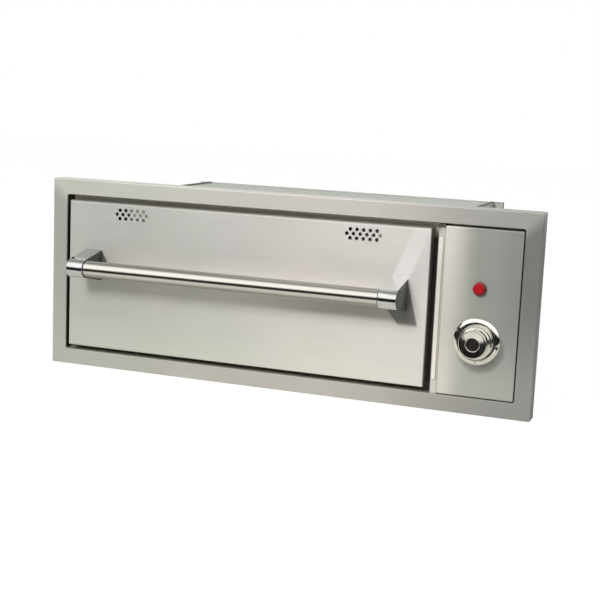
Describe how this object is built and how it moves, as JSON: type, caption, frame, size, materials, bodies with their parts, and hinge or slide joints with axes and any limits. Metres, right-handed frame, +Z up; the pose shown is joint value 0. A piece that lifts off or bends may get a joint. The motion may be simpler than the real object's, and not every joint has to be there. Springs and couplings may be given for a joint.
{
  "type": "built-in warming drawer",
  "caption": "Insulated built-in warming drawer: flanged trim frame, drawer on ball-bearing slides with bar handle and shuttered vents, side panel with thermostat knob and lamp.",
  "frame": {"origin": "on the underside of the base pan, in the middle of the trim frame's width and half way along the housing", "axes": "+X to the right seen from the front, +Y to the back, +Z up"},
  "size_m": [0.762, 0.5564, 0.292],
  "materials": {
    "brushed_stainless": "fine horizontal brushing",
    "frame_stainless": "satin, brushed along each side",
    "polished_steel": "polished",
    "bar_steel": "brushed tube",
    "strip_metal": "satin",
    "galvanised_sheet": "zinc coated sheet, dull",
    "inner_stainless": "mill finish",
    "dark_sheet": "dull, in shadow",
    "lamp_red": "clear red moulding",
    "black_plastic": "glossy",
    "phenolic": "dull brown moulding",
    "copper": "drawn copper tube",
    "zinc_steel": "bright zinc",
    "cage_steel": "yellow zinc",
    "ceramic_white": "unglazed",
    "sheath_steel": "oxidised sheath",
    "mineral_wool": "loose fibre slab",
    "gasket_rubber": "dull black",
    "wire_insulation": "silicone sleeve",
    "nylon_black": "moulded"
  },
  "bodies": {
    "housing": {"trim_frame": "frame_stainless", "bulkhead": "dark_sheet", "mullion": "frame_stainless", "mullion_strip": "strip_metal", "control_panel": "brushed_stainless", "knob_bezel": "polished_steel", "indicator_lens": "lamp_red", "indicator_body": "nylon_black", "thermostat_body": "phenolic", "capillary_bulb": "copper", "bulb_clips": "zinc_steel", "control_box": "galvanised_sheet", "terminal_block": "ceramic_white", "cable_gland": "nylon_black", "wiring": "wire_insulation", "casing": "galvanised_sheet", "base_pan": "galvanised_sheet", "rear_panel": "galvanised_sheet", "rear_screws": "zinc_steel", "cavity_liner": "inner_stainless", "insulation_top": "mineral_wool", "insulation_bottom": "mineral_wool", "insulation_left": "mineral_wool", "insulation_right": "mineral_wool", "insulation_rear": "mineral_wool", "heating_element": "sheath_steel", "element_bushes": "ceramic_white", "element_brackets": "zinc_steel", "heat_baffle": "inner_stainless", "slide_outer_left": "zinc_steel", "slide_outer_right": "zinc_steel"},
    "drawer": {"front_skin": "brushed_stainless", "front_back_plate": "inner_stainless", "front_insulation": "mineral_wool", "door_gasket": "gasket_rubber", "vent_guides": "zinc_steel", "handle_bar": "bar_steel", "handle_post_left": "polished_steel", "handle_post_right": "polished_steel", "handle_plates": "zinc_steel", "handle_screws": "zinc_steel", "drawer_tub": "inner_stainless", "tub_screws": "zinc_steel", "wire_rack": "polished_steel", "slide_inner_left": "zinc_steel", "slide_inner_right": "zinc_steel"},
    "mid_rail_left": {"slide_mid_left": "zinc_steel"},
    "mid_rail_right": {"slide_mid_right": "zinc_steel"},
    "outer_cage_left": {"cage_outer_left": "cage_steel"},
    "outer_cage_right": {"cage_outer_right": "cage_steel"},
    "inner_cage_left": {"cage_inner_left": "cage_steel"},
    "inner_cage_right": {"cage_inner_right": "cage_steel"},
    "shutter_left": {"vent_shutter_left": "zinc_steel"},
    "shutter_right": {"vent_shutter_right": "zinc_steel"},
    "knob_and_shaft": {"knob": "polished_steel", "knob_cap": "black_plastic", "thermostat_shaft": "zinc_steel"}
  },
  "joints": [
    {"name": "drawer_slide", "type": "slide", "parent": "housing", "child": "drawer", "axis": [0, -1, 0], "range_m": [0, 0.4]},
    {"name": "mid_rail_left_slide", "type": "slide", "parent": "housing", "child": "mid_rail_left", "axis": [0, -1, 0], "range_m": [0, 0.2]},
    {"name": "outer_cage_left_slide", "type": "slide", "parent": "housing", "child": "outer_cage_left", "axis": [0, -1, 0], "range_m": [0, 0.1]},
    {"name": "inner_cage_left_slide", "type": "slide", "parent": "housing", "child": "inner_cage_left", "axis": [0, -1, 0], "range_m": [0, 0.3]},
    {"name": "mid_rail_right_slide", "type": "slide", "parent": "housing", "child": "mid_rail_right", "axis": [0, -1, 0], "range_m": [0, 0.2]},
    {"name": "outer_cage_right_slide", "type": "slide", "parent": "housing", "child": "outer_cage_right", "axis": [0, -1, 0], "range_m": [0, 0.1]},
    {"name": "inner_cage_right_slide", "type": "slide", "parent": "housing", "child": "inner_cage_right", "axis": [0, -1, 0], "range_m": [0, 0.3]},
    {"name": "vent_left_slide", "type": "slide", "parent": "drawer", "child": "shutter_left", "axis": [1, 0, 0], "range_m": [-0.0275, 0.0306]},
    {"name": "vent_right_slide", "type": "slide", "parent": "drawer", "child": "shutter_right", "axis": [1, 0, 0], "range_m": [-0.0518, 0.0063]},
    {"name": "knob_turn", "type": "hinge", "parent": "housing", "child": "knob_and_shaft", "pos_m": [0.2987, -0.2565, 0.0755], "axis": [0, 1, 0], "range_deg": [0, 270]}
  ],
  "couplings": [
    {"joint": "mid_rail_left_slide", "follows": "drawer_slide", "ratio": 0.5},
    {"joint": "outer_cage_left_slide", "follows": "drawer_slide", "ratio": 0.25},
    {"joint": "inner_cage_left_slide", "follows": "drawer_slide", "ratio": 0.75},
    {"joint": "mid_rail_right_slide", "follows": "drawer_slide", "ratio": 0.5},
    {"joint": "outer_cage_right_slide", "follows": "drawer_slide", "ratio": 0.25},
    {"joint": "inner_cage_right_slide", "follows": "drawer_slide", "ratio": 0.75}
  ]
}
